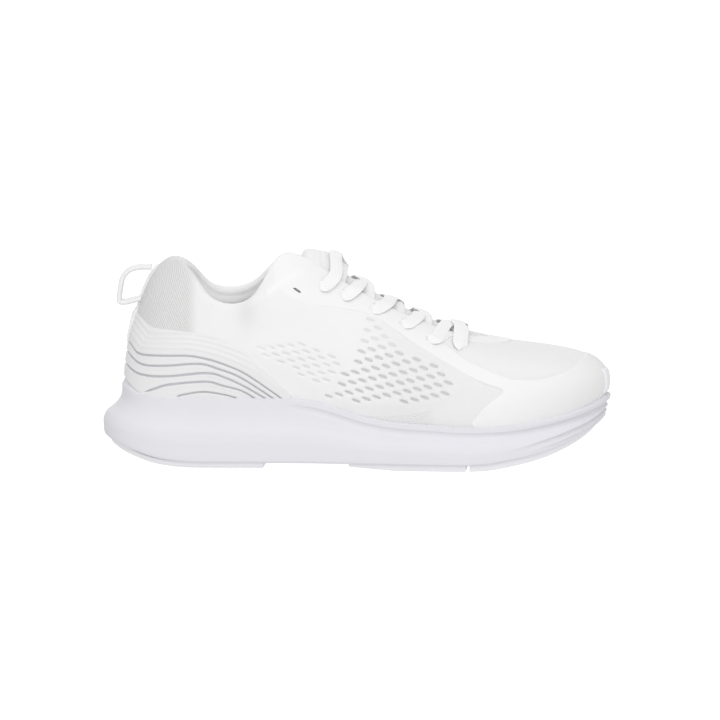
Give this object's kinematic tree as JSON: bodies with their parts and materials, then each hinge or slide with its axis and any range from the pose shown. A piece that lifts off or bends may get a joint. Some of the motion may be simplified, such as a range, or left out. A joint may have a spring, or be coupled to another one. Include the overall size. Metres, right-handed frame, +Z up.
{
  "type": "running shoe",
  "caption": "low-cut running shoe for the right foot with a thick foam sole, knit upper, moulded heel film, flat lace and a heel pull loop",
  "frame": {"origin": "on the ground under the middle of the shoe, where the middle of its bounding box meets its lowest point", "axes": "+X points from heel to toe, +Y to the inner side of the foot, +Z up"},
  "size_m": [0.2906, 0.0984, 0.1231],
  "materials": {
    "midsole": "moulded matt foam",
    "outsole_heel_pad": "matt rubber",
    "outsole_ball_pad": "matt rubber",
    "outsole_toe_pad": "matt rubber",
    "toe_bumper": "matt rubber",
    "strobel_board": "non-woven board",
    "sockliner": "textile-covered foam",
    "heel_knit": "ribbed knit",
    "quarter_outer": "engineered knit",
    "quarter_inner": "engineered knit",
    "vamp_knit": "open mesh knit",
    "heel_counter": "plain",
    "toe_puff": "plain",
    "vamp_lining": "soft mesh",
    "collar_lining": "brushed textile",
    "collar_foam": "open-cell foam",
    "eyestay_tape_outer": "woven tape",
    "eyestay_tape_inner": "woven tape",
    "toe_film": "satin film",
    "heel_overlay": "satin moulded film",
    "heel_strip": "woven strip",
    "lattice_film_outer": "satin film",
    "lattice_film_inner": "satin film",
    "pull_tab": "woven webbing",
    "tongue_shell": "knit mesh",
    "tongue_foam": "open-cell foam",
    "tongue_lining": "soft mesh",
    "lace": "flat woven lace"
  },
  "bodies": {
    "shoe": {"midsole": "midsole", "outsole_heel_pad": "outsole_heel_pad", "outsole_ball_pad": "outsole_ball_pad", "outsole_toe_pad": "outsole_toe_pad", "toe_bumper": "toe_bumper", "strobel_board": "strobel_board", "sockliner": "sockliner", "heel_knit": "heel_knit", "quarter_outer": "quarter_outer", "quarter_inner": "quarter_inner", "vamp_knit": "vamp_knit", "heel_counter": "heel_counter", "toe_puff": "toe_puff", "vamp_lining": "vamp_lining", "collar_lining": "collar_lining", "collar_foam": "collar_foam", "eyestay_tape_outer": "eyestay_tape_outer", "eyestay_tape_inner": "eyestay_tape_inner", "toe_film": "toe_film", "heel_overlay": "heel_overlay", "heel_strip": "heel_strip", "lattice_film_outer": "lattice_film_outer", "lattice_film_inner": "lattice_film_inner", "pull_tab": "pull_tab", "lace": "lace"},
    "tongue": {"tongue_shell": "tongue_shell", "tongue_foam": "tongue_foam", "tongue_lining": "tongue_lining"}
  },
  "joints": [
    {"name": "tongue_press", "type": "hinge", "parent": "shoe", "child": "tongue", "pos_m": [0.076, 0, 0.062], "axis": [0, -1, 0], "range_deg": [0, 8]}
  ]
}
